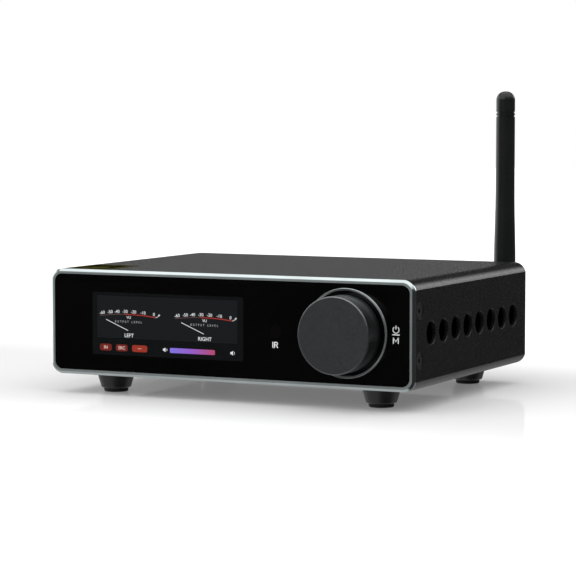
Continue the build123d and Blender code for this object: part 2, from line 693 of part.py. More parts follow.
def make_post_stud(x):
    """One speaker post's brass stud, bored for a 4 mm plug."""
    stud = bar_y(x, POST_Z, REAR - STUD_INSIDE, REAR + STUD_LENGTH, STUD_RADIUS)
    stud -= bar_y(x, POST_Z, REAR + STUD_LENGTH - BANANA_DEPTH, REAR + STUD_LENGTH, BANANA_RADIUS)
    rim = stud.edges().filter_by(GeomType.CIRCLE).group_by(Axis.Y)[-1]
    return chamfer(rim, COLLAR_RIM)


def make_post_collar(x):
    """One insulating collar: a flange outside the rear panel and a neck through it."""
    flange = tube_y(x, POST_Z, REAR, REAR + COLLAR_THICK, POST_RADIUS + COLLAR_RIM, STUD_RADIUS)
    rim = flange.edges().filter_by(GeomType.CIRCLE).group_by(Axis.Y)[-1].sort_by(SortBy.LENGTH)[-1]
    flange = chamfer(rim, COLLAR_EDGE)
    return flange + tube_y(x, POST_Z, REAR - REAR_THICK, REAR, COLLAR_NECK, STUD_RADIUS)


def make_post_nut(x):
    """One insulating nut behind the rear panel."""
    face = REAR - REAR_THICK
    return hex_nut(x, POST_Z, face - POST_NUT_THICK, face, POST_NUT_WIDTH, STUD_RADIUS)


def make_post_washer(x):
    """One captive washer, between the collar and the cap."""
    y0 = REAR + COLLAR_THICK + POST_GAP
    return tube_y(x, POST_Z, y0, y0 + WASHER_THICK, POST_RADIUS - POST_EDGE, STUD_RADIUS + RUNNING)


def make_post_cap(x):
    """One ribbed screw cap, open through its middle."""
    y0 = REAR + COLLAR_THICK + WASHER_THICK + 2 * POST_GAP
    cap = bar_y(x, POST_Z, y0, REAR + POST_LENGTH, POST_RADIUS)
    cap = chamfer(cap.edges().filter_by(GeomType.CIRCLE), POST_EDGE)
    grooves = []
    for number in range(POST_RIBS):
        angle = 2 * pi * number / POST_RIBS
        grooves.append(bar_y(x + POST_RADIUS * cos(angle), POST_Z + POST_RADIUS * sin(angle),
                             y0 + 1.5, REAR + POST_LENGTH - 2.0, POST_RIB_RADIUS))
    return cap - bar_y(x, POST_Z, y0, REAR + POST_LENGTH, STUD_RADIUS + RUNNING) - grooves


def make_phono_shell(x):
    """One phono socket's barrel, with a threaded neck through the rear panel."""
    seat = REAR + PHONO_RING_THICK
    barrel = tube_y(x, PHONO_Z, seat, REAR + PHONO_LENGTH, PHONO_RADIUS, PHONO_RADIUS - PHONO_WALL)
    rim = PHONO_RADIUS + PHONO_FLANGE_RIM
    flange = tube_y(x, PHONO_Z, seat, REAR + PHONO_FLANGE_BACK, rim, PHONO_NECK - 1)
    return barrel + flange + tube_y(x, PHONO_Z, REAR - PHONO_INSIDE, seat, PHONO_NECK, PHONO_NECK - 1)


def make_phono_insert(x):
    """One phono socket's insulating core, bored for the plug's pin."""
    core = bar_y(x, PHONO_Z, REAR + PHONO_FLANGE_BACK, REAR + PHONO_LENGTH - 1.0, PHONO_RADIUS - 1.5)
    core += bar_y(x, PHONO_Z, REAR - PHONO_INSIDE, REAR + PHONO_FLANGE_BACK, PHONO_NECK - 1)
    return core - bar_y(x, PHONO_Z, REAR, REAR + PHONO_LENGTH, PHONO_PIN_BORE)


def make_phono_ring(x):
    """One coloured ring at the foot of a phono socket."""
    return tube_y(x, PHONO_Z, REAR, REAR + PHONO_RING_THICK, PHONO_RADIUS + PHONO_RING_RIM, PHONO_NECK)


def make_antenna_socket():
    """The antenna's threaded socket: a hexagonal body inside and a barrel through the rear panel."""
    face, end = REAR - REAR_THICK, REAR + SOCKET_REACH
    barrel = bar_y(ANTENNA_X, ANTENNA_Z, face, end, SOCKET_THREAD)
    body = hex_nut(ANTENNA_X, ANTENNA_Z, REAR - SOCKET_REACH, face, SOCKET_NUT, LEAD_RADIUS - FIT)
    return barrel + body - bar_y(ANTENNA_X, ANTENNA_Z, REAR + SOCKET_NUT_THICK, end, SOCKET_BORE)


def make_antenna_socket_nut():
    """The socket's nut outside the rear panel."""
    return hex_nut(ANTENNA_X, ANTENNA_Z, REAR, REAR + SOCKET_NUT_THICK, SOCKET_NUT, SOCKET_THREAD)


def make_antenna_collar():
    """The ribbed collar that screws onto the socket."""
    y0, y1 = REAR + COLLAR_FRONT, REAR + COLLAR_BACK
    collar = bar_y(ANTENNA_X, ANTENNA_Z, y0, y1, EAR_RADIUS)
    collar = chamfer(collar.edges().filter_by(GeomType.CIRCLE), COLLAR_EDGE)
    grooves = []
    for number in range(COLLAR_FLUTES):
        angle = 2 * pi * number / COLLAR_FLUTES
        grooves.append(bar_y(ANTENNA_X + EAR_RADIUS * cos(angle), ANTENNA_Z + EAR_RADIUS * sin(angle),
                             y0 + 1.0, y1 - 1.0, FLUTE_RADIUS))
    collar -= bar_y(ANTENNA_X, ANTENNA_Z, y0, REAR + SOCKET_REACH + 0.2, SOCKET_THREAD + FIT)
    return collar - bar_y(ANTENNA_X, ANTENNA_Z, REAR + SOCKET_REACH, y1, STEM_RADIUS + RUNNING) - grooves


def make_antenna_knuckle():
    """The knuckle: a stem in the collar, a disc, and two ears around the rod's tongue."""
    inner = TONGUE_HALF + EAR_CLEARANCE
    disc_back = FOLD_Y - EAR_RADIUS - 0.1
    knuckle = bar_y(ANTENNA_X, ANTENNA_Z, REAR + STEM_FRONT, REAR + STEM_BACK, STEM_RADIUS)
    knuckle += bar_y(ANTENNA_X, ANTENNA_Z, REAR + STEM_BACK, disc_back, EAR_RADIUS)
    ears = bar_y(ANTENNA_X, ANTENNA_Z, disc_back, FOLD_Y + EAR_RADIUS, EAR_RADIUS)
    swing = bar_x(FOLD_Y, ANTENNA_Z, ANTENNA_X - EAR_RADIUS, ANTENNA_X + EAR_RADIUS, EAR_RADIUS)
    neck = block(ANTENNA_X - EAR_RADIUS, ANTENNA_X + EAR_RADIUS, disc_back, FOLD_Y,
                 ANTENNA_Z - EAR_RADIUS, ANTENNA_Z + EAR_RADIUS)
    ears = ears & (swing + neck)
    slot = block(ANTENNA_X - inner, ANTENNA_X + inner, disc_back, FOLD_Y + EAR_RADIUS + 1,
                 ANTENNA_Z - EAR_RADIUS, ANTENNA_Z + EAR_RADIUS)
    knuckle += ears - slot
    return knuckle - fold_pin(PIN_RADIUS)


def fold_pin(radius):
    """A bar along the fold axis."""
    return bar_x(FOLD_Y, ANTENNA_Z, ANTENNA_X - EAR_RADIUS + 1.0, ANTENNA_X + EAR_RADIUS - 1.0, radius)


def rod_profile(z0, z1):
    """Half of the rod's long section between two heights: it narrows in an S, then runs nearly straight."""
    foot, middle, top = ANTENNA_Z + ROD_START, BOTTOM + ROD_MIDDLE, BOTTOM + ANTENNA_TOP
    curve = Spline((ROD_BASE_RADIUS, foot), (ROD_SHOULDER_RADIUS, BOTTOM + ROD_SHOULDER),
                   (ROD_MIDDLE_RADIUS, middle), tangents=((0, 1), (0, 1)))
    tip = Line(curve @ 1, (ROD_TOP_RADIUS, top))
    axis = Line((0, top), (0, foot))
    outline = make_face([curve, tip, Line(tip @ 1, (0, top)), axis, Line((0, foot), curve @ 0)])
    return outline & Pos(0, (z0 + z1) / 2) * Rectangle(4 * ROD_BASE_RADIUS, z1 - z0)


def make_antenna_rod():
    """The rod's sleeve, with the tongue that folds in the knuckle."""
    foot, split = ANTENNA_Z + ROD_START, BOTTOM + ANTENNA_TOP - CAP_LENGTH
    rod = Pos(ANTENNA_X, FOLD_Y, 0) * revolve(Plane.XZ * rod_profile(foot, split), Axis.Z)
    half = TONGUE_HALF
    rod += bar_x(FOLD_Y, ANTENNA_Z, ANTENNA_X - half, ANTENNA_X + half, TONGUE_RADIUS)
    rod += block(ANTENNA_X - half, ANTENNA_X + half, FOLD_Y - TONGUE_NECK, FOLD_Y + TONGUE_NECK,
                 ANTENNA_Z, foot + 0.5)
    groove_z = split - GROOVE_WIDTH / 2
    rod -= rod_groove(groove_z)
    return rod - fold_pin(PIN_RADIUS + RUNNING)


def rod_groove(z):
    """A fine groove around the rod."""
    z0, z1 = z - GROOVE_WIDTH / 2, z + GROOVE_WIDTH / 2
    outer = bar_z(ANTENNA_X, FOLD_Y, z0, z1, ROD_BASE_RADIUS)
    return outer - bar_z(ANTENNA_X, FOLD_Y, z0, z1, ROD_TOP_RADIUS - GROOVE_DEPTH)


def make_antenna_cap():
    """The rod's tip cap, with a domed end and a fine groove."""
    split, top = BOTTOM + ANTENNA_TOP - CAP_LENGTH, BOTTOM + ANTENNA_TOP
    cap = Pos(ANTENNA_X, FOLD_Y, 0) * revolve(Plane.XZ * rod_profile(split, top), Axis.Z)
    cap = fillet(cap.edges().group_by(Axis.Z)[-1], CAP_DOME)
    return cap - rod_groove(split + GROOVE_GAP - GROOVE_WIDTH / 2)


def make_antenna_lead():
    """The thin coaxial lead from the radio module to the antenna socket."""
    start = (RADIO_X + 8.0, RADIO_Y, BOARD_TOP + RADIO_HEIGHT)
    corner_x, corner_depth, corner_height = LEAD_CORNER
    points = [start, (start[0], start[1], BOTTOM + LEAD_RISE),
              (corner_x, FRONT + corner_depth, BOTTOM + corner_height),
              (ANTENNA_X, REAR - 26.0, ANTENNA_Z), (ANTENNA_X, REAR - SOCKET_REACH, ANTENNA_Z)]
    path = FilletPolyline(*points, radius=[5.0, 14.0, 14.0])
    section = Plane(origin=path @ 0, z_dir=path % 0) * Circle(LEAD_RADIUS)
    return sweep(section, path=path)


def make_radio_module():
    """The radio module: a small board with a shield can."""
    wide, deep, can_deep = RADIO_HALF_WIDTH, RADIO_HALF_DEPTH, CAN_HALF_DEPTH
    board = block(RADIO_X - wide, RADIO_X + wide, RADIO_Y - deep, RADIO_Y + deep, BOARD_TOP,
                  BOARD_TOP + RADIO_BOARD)
    return board + block(RADIO_X - wide + 4.0, RADIO_X + wide - 2.0, RADIO_Y - can_deep, RADIO_Y + can_deep,
                         BOARD_TOP + RADIO_BOARD, BOARD_TOP + RADIO_HEIGHT)


def make_main_board():
    """The main circuit board, drilled for its spacers."""
    board = block(-BOARD_HALF_WIDTH, BOARD_HALF_WIDTH, FRONT + BOARD_FRONT, REAR - BOARD_REAR_GAP,
                  BOTTOM + BOARD_LOW, BOARD_TOP)
    for x, y in SPACER_PLACES:
        board -= bar_z(x, y, BOTTOM + BOARD_LOW, BOARD_TOP, SPACER_NECK)
    return board


def make_board_spacer(x, y):
    """One snap-in spacer between the case's floor and the main board."""
    spacer = bar_z(x, y, BOTTOM + WALL, BOTTOM + BOARD_LOW, SPACER_RADIUS)
    spacer += bar_z(x, y, BOTTOM + BOARD_LOW, BOARD_TOP, SPACER_NECK)
    return spacer + Pos(x, y, BOARD_TOP + 0.9) * Cone(2.2, 1.0, 1.8)


def make_amplifier_chip():
    """The amplifier chip under the heatsink."""
    half = CHIP_HALF
    return block(CHIP_X - half, CHIP_X + half, CHIP_Y - half, CHIP_Y + half,
                 BOARD_TOP, BOARD_TOP + CHIP_HEIGHT)


def make_heatsink():
    """The finned heatsink on the amplifier chip."""
    z0 = BOARD_TOP + CHIP_HEIGHT
    left, y0, y1 = CHIP_X - SINK_HALF_WIDTH, CHIP_Y - SINK_HALF_DEPTH, CHIP_Y + SINK_HALF_DEPTH
    z1 = z0 + SINK_BASE
    sink = block(left, CHIP_X + SINK_HALF_WIDTH, y0, y1, z0, z1)
    pitch = (2 * SINK_HALF_WIDTH - FIN_THICK) / (FIN_COUNT - 1)
    for number in range(FIN_COUNT):
        x = left + number * pitch
        sink += block(x, x + FIN_THICK, y0, y1, z1, z1 + FIN_HEIGHT)
    return sink


def make_coil(x):
    """One moulded output coil."""
    y, half = FRONT + COIL_DEPTH, COIL_HALF
    coil = block(x - half, x + half, y - half, y + half, BOARD_TOP, BOARD_TOP + COIL_HEIGHT)
    return chamfer(coil.edges().filter_by(Axis.Z), COIL_EDGE)


def make_capacitor(x):
    """One supply capacitor."""
    can = bar_z(x, FRONT + CAPACITOR_DEPTH, BOARD_TOP, BOARD_TOP + CAPACITOR_HEIGHT, CAPACITOR_RADIUS)
    return fillet(can.edges().group_by(Axis.Z)[-1], CAPACITOR_EDGE)


def make_top_label():
    """The square label on the top, at the front left."""
    return block(LABEL_LEFT, LABEL_RIGHT, FRONT + LABEL_FRONT, FRONT + LABEL_REAR, TOP, TOP + LABEL_THICK)


def group(maker, places):
    """Identical pieces, kept as separate solids in one node."""
    return Compound(children=[maker(*place) for place in places])


def columns(*numbers):
    """Places of the rear panel's socket columns, counted from the left."""
    return [(SOCKET_COLUMNS[number],) for number in numbers]


def screws(size, places):
    """Identical countersunk screws at the given places."""
    return Compound(children=[place * countersunk_screw(*size) for place in places])


os.makedirs("parts", exist_ok=True)

save(make_case_sleeve(), "case_sleeve")
save(make_front_frame(), "front_frame")
save(make_front_panel(), "front_panel")
save(make_display_window(), "display_window")
save(make_display_glass(), "display_glass")
save(make_display_tray(), "display_tray")
save(make_display_ribbon(), "display_ribbon")
save(make_front_ribbon(), "front_ribbon")
save(make_front_board(), "front_board")
save(make_infrared_window(), "infrared_window")
save(make_infrared_receiver(), "infrared_receiver")
save(make_rear_panel(), "rear_panel")
save(make_top_label(), "top_label")
save(screws(FRAME_SCREW, frame_screw_places()), "frame_screws")
save(screws(REAR_SCREW, rear_screw_places()), "rear_screws")

save(make_knob_ring(), "knob_ring")
save(make_knob(), "knob")
save(make_knob_set_screw(), "knob_set_screw")
save(make_encoder_shaft(), "encoder_shaft")
save(make_encoder_plunger(), "encoder_plunger")
save(make_encoder_body(), "encoder_body")
save(hex_nut(KNOB_X, KNOB_Z, FRONT + NUT_FRONT, FRONT + WEB_FRONT, NUT_WIDTH, ENCODER_BUSH), "encoder_nut")

save(group(make_foot, foot_places()), "feet")
save(group(make_foot_pad, foot_places()), "foot_pads")
save(group(make_foot_screw, foot_places()), "foot_screws")

save(group(make_post_stud, columns(0, 1, 2, 3)), "post_studs")
save(group(make_post_collar, columns(0, 2)), "post_collars_red")
save(group(make_post_collar, columns(1, 3)), "post_collars_black")
save(group(make_post_nut, columns(0, 1, 2, 3)), "post_nuts")
for number, column in enumerate(SOCKET_COLUMNS, start=1):
    save(make_post_washer(column), f"post_washer_{number}")
    save(make_post_cap(column), f"post_cap_{number}")
save(group(make_phono_shell, columns(0, 1, 2, 3)), "phono_shells")
save(group(make_phono_insert, columns(0, 1, 2, 3)), "phono_inserts")
save(group(make_phono_ring, columns(0)), "phono_ring_right")
save(group(make_phono_ring, columns(1)), "phono_ring_left")
save(group(make_phono_ring, columns(2, 3)), "phono_rings_output")
save(make_optical_socket(), "optical_socket")
save(make_usb_socket(), "usb_socket")
save(make_power_socket(), "power_socket")

save(make_antenna_socket(), "antenna_socket")
save(make_antenna_socket_nut(), "antenna_socket_nut")
save(make_antenna_collar(), "antenna_collar")
save(make_antenna_knuckle(), "antenna_knuckle")
save(fold_pin(PIN_RADIUS), "antenna_pin")
save(make_antenna_rod(), "antenna_rod")
save(make_antenna_cap(), "antenna_cap")
save(make_antenna_lead(), "antenna_lead")

save(make_main_board(), "main_board")
save(group(make_board_spacer, SPACER_PLACES), "board_spacers")
save(make_radio_module(), "radio_module")
save(make_amplifier_chip(), "amplifier_chip")
save(make_heatsink(), "heatsink")
save(group(make_coil, columns(0, 1, 2, 3)), "output_coils")
save(group(make_capacitor, columns(0, 1, 2)), "supply_capacitors")
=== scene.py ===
import bmesh
import bpy
import json
from math import cos, pi, radians, sin, sqrt
from mathutils import Matrix, Vector


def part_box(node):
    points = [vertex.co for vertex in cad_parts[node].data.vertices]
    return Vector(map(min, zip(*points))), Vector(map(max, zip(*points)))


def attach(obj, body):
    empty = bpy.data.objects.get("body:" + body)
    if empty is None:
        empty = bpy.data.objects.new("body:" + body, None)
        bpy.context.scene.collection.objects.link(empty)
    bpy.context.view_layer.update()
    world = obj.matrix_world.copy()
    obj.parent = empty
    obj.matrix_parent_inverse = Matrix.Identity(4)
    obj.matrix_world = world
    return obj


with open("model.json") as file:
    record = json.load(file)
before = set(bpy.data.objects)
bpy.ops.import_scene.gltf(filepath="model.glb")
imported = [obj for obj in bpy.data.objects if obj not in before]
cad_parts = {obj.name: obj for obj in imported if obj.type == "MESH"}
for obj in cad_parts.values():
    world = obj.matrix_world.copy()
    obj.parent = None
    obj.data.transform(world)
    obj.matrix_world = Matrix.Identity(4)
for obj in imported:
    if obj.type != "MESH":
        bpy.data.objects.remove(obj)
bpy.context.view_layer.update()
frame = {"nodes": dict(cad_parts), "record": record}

MM = 0.001
X, Y, Z = Vector((1, 0, 0)), Vector((0, 1, 0)), Vector((0, 0, 1))


# ---------------------------------------------------------------- places from the frame

def low(node):
    """The lowest corner of a CAD node."""
    return Vector(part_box(node)[0])


def high(node):
    """The highest corner of a CAD node."""
    return Vector(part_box(node)[1])


def centre(node):
    """The middle of a CAD node's box."""
    return (low(node) + high(node)) / 2


FRONT = low("front_frame").y
REAR = high("rear_panel").y
CASE_BOTTOM = low("case_sleeve").z


# ---------------------------------------------------------------- camera

CAMERA_AZIMUTH = radians(26.107)
CAMERA_ELEVATION = radians(4.288)
CAMERA_DISTANCE = 0.9634
CAMERA_LENS = 147.83
CAMERA_SENSOR = 36.0
CAMERA_NEAR = 0.01
CAMERA_FAR = 50.0
AIM_SIDE = 0.0286
AIM_HEIGHT = 0.0402
AIM = Vector((AIM_SIDE, FRONT, CASE_BOTTOM + AIM_HEIGHT))


def make_camera():
    """The camera at the photograph's angle, aimed at the front plane right of its middle."""
    data = bpy.data.cameras.new("camera")
    data.lens = CAMERA_LENS
    data.sensor_width = CAMERA_SENSOR
    data.clip_start = CAMERA_NEAR
    data.clip_end = CAMERA_FAR
    camera = bpy.data.objects.new("camera", data)
    bpy.context.scene.collection.objects.link(camera)
    level = cos(CAMERA_ELEVATION)
    back = Vector((sin(CAMERA_AZIMUTH) * level, -cos(CAMERA_AZIMUTH) * level, sin(CAMERA_ELEVATION)))
    camera.location = AIM + back * CAMERA_DISTANCE
    camera.rotation_euler = (-back).to_track_quat("-Z", "Y").to_euler()
    bpy.context.scene.camera = camera


# ---------------------------------------------------------------- colours and node helpers

def srgb(red, green, blue):
    """A colour given as screen values from 0 to 255, in linear light."""
    def linear(value):
        value = value / 255
        return value / 12.92 if value <= 0.04045 else ((value + 0.055) / 1.055) ** 2.4
    return (linear(red), linear(green), linear(blue), 1.0)


def scaled(colour, factor):
    """A colour made lighter or darker."""
    return tuple(min(1.0, part * factor) for part in colour[:3]) + (1.0,)


def put(tree, kind, inputs=(), **settings):
    """A new node. inputs pairs a socket's name or number with a value or another node's output."""
    made = tree.nodes.new(kind)
    for key, value in settings.items():
        setattr(made, key, value)
    for key, value in inputs:
        if isinstance(value, bpy.types.NodeSocket):
            tree.links.new(value, made.inputs[key])
        else:
            made.inputs[key].default_value = value
    return made


def start(name):
    """A new material, its tree, its shader and its object coordinates."""
    material = bpy.data.materials.new(name)
    material.use_nodes = True
    tree = material.node_tree
    shader = tree.nodes["Principled BSDF"]
    place = put(tree, "ShaderNodeTexCoord").outputs["Object"]
    return material, tree, shader, place


def noise(tree, place, size, detail=2.0):
    """Noise whose lumps are about size metres across."""
    inputs = (("Vector", place), ("Scale", 1 / size), ("Detail", detail))
    return put(tree, "ShaderNodeTexNoise", inputs).outputs["Fac"]


def remap(tree, value, low_in, high_in, low_out, high_out):
    """A value stretched smoothly from one range to another."""
    inputs = (("Value", value), ("From Min", low_in), ("From Max", high_in),
              ("To Min", low_out), ("To Max", high_out))
    return put(tree, "ShaderNodeMapRange", inputs, interpolation_type="SMOOTHSTEP").outputs["Result"]


def blend_colours(tree, factor, first, second):
    """A mix of two colours."""
    mixer = put(tree, "ShaderNodeMix", data_type="RGBA")
    tree.links.new(factor, mixer.inputs[0])
    for socket, colour in ((mixer.inputs[6], first), (mixer.inputs[7], second)):
        if isinstance(colour, bpy.types.NodeSocket):
            tree.links.new(colour, socket)
        else:
            socket.default_value = colour
    return mixer.outputs[2]


NOISE_MIDDLE = (0.35, 0.65)
NOISE_BODY = (0.3, 0.7)


def surface(name, colour, rough, metal=0.0, grain=0.3 * MM, bump=0.05, mottle=0.12, spread=0.06,
            blotch=14 * MM, **sockets):
    """A material with mottled colour, uneven roughness and a fine grain in relief."""
    material, tree, shader, place = start(name)
    fine = noise(tree, place, grain)
    coarse = noise(tree, place, blotch, detail=4.0)
    tone = remap(tree, coarse, *NOISE_MIDDLE, 0.0, 1.0)
    base = blend_colours(tree, tone, scaled(colour, 1 - mottle), scaled(colour, 1 + mottle))
    tree.links.new(base, shader.inputs["Base Color"])
    uneven = remap(tree, fine, *NOISE_BODY, rough - spread, rough + spread)
    tree.links.new(uneven, shader.inputs["Roughness"])
    relief = put(tree, "ShaderNodeBump", (("Strength", bump), ("Distance", grain), ("Height", fine)))
    tree.links.new(relief.outputs["Normal"], shader.inputs["Normal"])
    shader.inputs["Metallic"].default_value = metal
    for socket, value in sockets.items():
        shader.inputs[socket.replace("_", " ")].default_value = value
    return material


def turned(name, colour, rough):
    """Lathe-turned metal: its highlights stretch across fine circular marks around the node's middle."""
    material = surface(name, colour, rough, metal=1.0, grain=0.1 * MM, mottle=0.05, Anisotropic=0.85)
    tree = material.node_tree
    tangent = put(tree, "ShaderNodeTangent", direction_type="RADIAL", axis="Y").outputs["Tangent"]
    tree.links.new(tangent, tree.nodes["Principled BSDF"].inputs["Tangent"])
    return material


# How much a face looks straight ahead, from 0 to 1: the most for a chamfer, the least for a front face.
FACING_CHAMFER = 0.85
FACING_AHEAD = 0.97


def cut_frame(name, colour, smooth, rough):
    """Satin metal whose chamfers are cut bright: the faces that look straight ahead are the rougher ones."""
    material = surface(name, colour, rough, metal=1.0, grain=0.12 * MM, mottle=0.05)
    tree = material.node_tree
    facing = put(tree, "ShaderNodeTexCoord").outputs["Normal"]
    ahead = put(tree, "ShaderNodeSeparateXYZ", ((0, facing),)).outputs[1]
    straight = put(tree, "ShaderNodeMath", ((0, ahead),), operation="ABSOLUTE").outputs[0]
    level = remap(tree, straight, FACING_CHAMFER, FACING_AHEAD, smooth, rough)
    tree.links.new(level, tree.nodes["Principled BSDF"].inputs["Roughness"])
    return material


DOT_PITCH = 0.14 * MM
DOT_SHADE = 0.86
UNLIT_SHADE = 0.05
LIT_ROUGHNESS = 0.4
LIT_SPECULAR = 0.2


def lit(name, colour, strength):
    """A lit part of the display, with the faint grid of its dots."""
    material, tree, shader, place = start(name)
    grid = put(tree, "ShaderNodeTexChecker", (("Vector", place), ("Scale", 1 / DOT_PITCH),
                                              ("Color1", colour), ("Color2", scaled(colour, DOT_SHADE))))
    shader.inputs["Base Color"].default_value = scaled(colour, UNLIT_SHADE)
    shader.inputs["Roughness"].default_value = LIT_ROUGHNESS
    shader.inputs["Specular IOR Level"].default_value = LIT_SPECULAR
    tree.links.new(grid.outputs["Color"], shader.inputs["Emission Color"])
    shader.inputs["Emission Strength"].default_value = strength
    return material


# ---------------------------------------------------------------- studio

AMBIENT = 0.05

# A softbox is a strength and the spans of directions it covers: to the right, to the rear and upward.
# A span is where the light starts, is full, is still full and ends. Directions run from -1 to 1, so the
# light isn't cut at an open end, and None covers a whole axis.
OPEN_LOW = (-3, -2)
OPEN_HIGH = (2, 3)
SOFTBOXES = {
    "top": (2.0, None, None, (0.6, 0.8, *OPEN_HIGH)),
    "front left": (1.9, (*OPEN_LOW, 0.0, 0.3), (*OPEN_LOW, -0.35, -0.1), (0.14, 0.3, 0.6, 0.8)),
    "rear left strip": (0.6, (-0.64, -0.58, -0.32, -0.26), (0.6, 0.7, *OPEN_HIGH), (0.11, 0.13, 0.2, 0.25)),
    "rear right panel": (3.2, (0.12, 0.24, 0.5, 0.6), (0.6, 0.7, *OPEN_HIGH), (0.13, 0.19, 0.42, 0.5)),
    "left panel": (1.8, (*OPEN_LOW, -0.8, -0.6), (-0.5, -0.2, *OPEN_HIGH), (-0.3, -0.15, 0.45, 0.6)),
    "low rear": (0.5, None, (0.2, 0.4, *OPEN_HIGH), (*OPEN_LOW, -0.34, -0.22)),
    "low front": (0.7, (*OPEN_LOW, 0.0, 0.3), (*OPEN_LOW, 0.2, 0.4), (*OPEN_LOW, -0.35, -0.25)),
    "high right": (1.0, (0.35, 0.55, *OPEN_HIGH), None, (0.4, 0.52, 0.7, 0.8)),
}


def make_world():
    """Soft studio light from the softboxes, in front of a plain white background."""
    world = bpy.data.worlds.new("studio")
    bpy.context.scene.world = world
    world.use_nodes = True
    tree = world.node_tree
    tree.nodes.clear()
    direction = put(tree, "ShaderNodeTexCoord").outputs["Generated"]
    parts = put(tree, "ShaderNodeSeparateXYZ", ((0, direction),)).outputs

    def between(value, edges):
        """How far a value lies inside a span, from 0 to 1."""
        rise = remap(tree, value, edges[0], edges[1], 0.0, 1.0)
        fall = remap(tree, value, edges[2], edges[3], 1.0, 0.0)
        return put(tree, "ShaderNodeMath", ((0, rise), (1, fall)), operation="MULTIPLY").outputs[0]

    def softbox(strength, x_edges, y_edges, z_edges):
        """The light of one softbox in the looked-up direction."""
        level = between(parts[2], z_edges)
        for value, edges in ((parts[0], x_edges), (parts[1], y_edges)):
            if edges:
                level = put(tree, "ShaderNodeMath", ((0, level), (1, between(value, edges))),
                            operation="MULTIPLY").outputs[0]
        return put(tree, "ShaderNodeMath", ((0, level), (1, strength)), operation="MULTIPLY").outputs[0]

    total = put(tree, "ShaderNodeValue").outputs[0]
    total.default_value = AMBIENT
    for box in [softbox(*settings) for settings in SOFTBOXES.values()]:
        total = put(tree, "ShaderNodeMath", ((0, total), (1, box)), operation="ADD").outputs[0]
    studio = put(tree, "ShaderNodeBackground", (("Strength", total),))
    plain = put(tree, "ShaderNodeBackground", (("Color", (1, 1, 1, 1)), ("Strength", 1.0)))
    seen = put(tree, "ShaderNodeLightPath").outputs["Is Camera Ray"]
    mixed = put(tree, "ShaderNodeMixShader", ((0, seen), (1, studio.outputs[0]), (2, plain.outputs[0])))
    put(tree, "ShaderNodeOutputWorld", ((0, mixed.outputs[0]),))


FLOOR_RADIUS = 4.0
FLOOR_SEGMENTS = 96
FLOOR_COLOUR = (0.93, 0.93, 0.93, 1)
FLOOR_POLISH = 0.06
FLOOR_MIRROR = 0.33
FLOOR_GLOW = 0.23
MIRROR_FADE = 0.17


def make_floor():
    """A pale table, softly lit from below, with a faint reflection that fades away from the object."""
    mesh = bpy.data.meshes.new("floor")
    shape = bmesh.new()
    bmesh.ops.create_circle(shape, cap_ends=True, segments=FLOOR_SEGMENTS, radius=FLOOR_RADIUS)
    shape.to_mesh(mesh)
    shape.free()
    floor = bpy.data.objects.new("floor", mesh)
    bpy.context.scene.collection.objects.link(floor)
    material = bpy.data.materials.new("floor")
    material.use_nodes = True
    tree = material.node_tree
    tree.nodes.clear()
    matt = put(tree, "ShaderNodeBsdfDiffuse", (("Color", FLOOR_COLOUR),))
    glow = put(tree, "ShaderNodeEmission", (("Color", (1, 1, 1, 1)), ("Strength", FLOOR_GLOW)))
    matt = put(tree, "ShaderNodeAddShader", ((0, matt.outputs[0]), (1, glow.outputs[0])))
    gloss = put(tree, "ShaderNodeBsdfGlossy", (("Color", (1, 1, 1, 1)), ("Roughness", FLOOR_POLISH)))
    place = put(tree, "ShaderNodeTexCoord").outputs["Object"]
    depth = put(tree, "ShaderNodeSeparateXYZ", ((0, place),)).outputs[1]
    front = remap(tree, depth, FRONT - MIRROR_FADE, FRONT, 0.0, FLOOR_MIRROR)
    back = remap(tree, depth, REAR, REAR + MIRROR_FADE, 1.0, 0.0)
    share = put(tree, "ShaderNodeMath", ((0, front), (1, back)), operation="MULTIPLY").outputs[0]
    mixed = put(tree, "ShaderNodeMixShader", ((0, share), (1, matt.outputs[0]), (2, gloss.outputs[0])))
    put(tree, "ShaderNodeOutputMaterial", ((0, mixed.outputs[0]),))
    mesh.materials.append(material)
    floor.visible_glossy = False


# ---------------------------------------------------------------- flat print and lit marks

CAPITAL_SHARE = 0.7
LETTER_STEPS = 3

# How much a letter's outline is thinned or thickened.
FINE = -0.01
PLAIN = 0.01
FIRM = 0.02
BOLD = 0.03
HEAVY = 0.05


